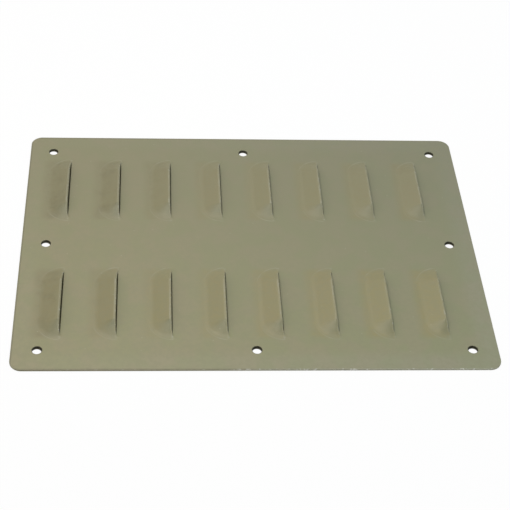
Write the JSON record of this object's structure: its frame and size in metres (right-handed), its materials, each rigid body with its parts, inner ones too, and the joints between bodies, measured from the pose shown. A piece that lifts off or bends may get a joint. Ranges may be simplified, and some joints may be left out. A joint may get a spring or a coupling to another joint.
{
  "type": "louvred sheet metal panel",
  "caption": "Flat painted sheet metal vent panel with rows of pressed louvres that open to one side, rounded corners and fixing holes round its edge",
  "frame": {"origin": "centre of the flat back face, in the plane the panel lies or is screwed on", "axes": "+X along the length, the way the louvres open; +Y along the width and the slits; +Z out of the back face, the way the louvres stand"},
  "size_m": [0.3, 0.22, 0.0053],
  "materials": {
    "painted_sheet": "semi-matt olive grey powder paint over sheet steel, on every face and cut edge"
  },
  "bodies": {
    "root": {"louvred_panel": "painted_sheet"}
  },
  "joints": []
}
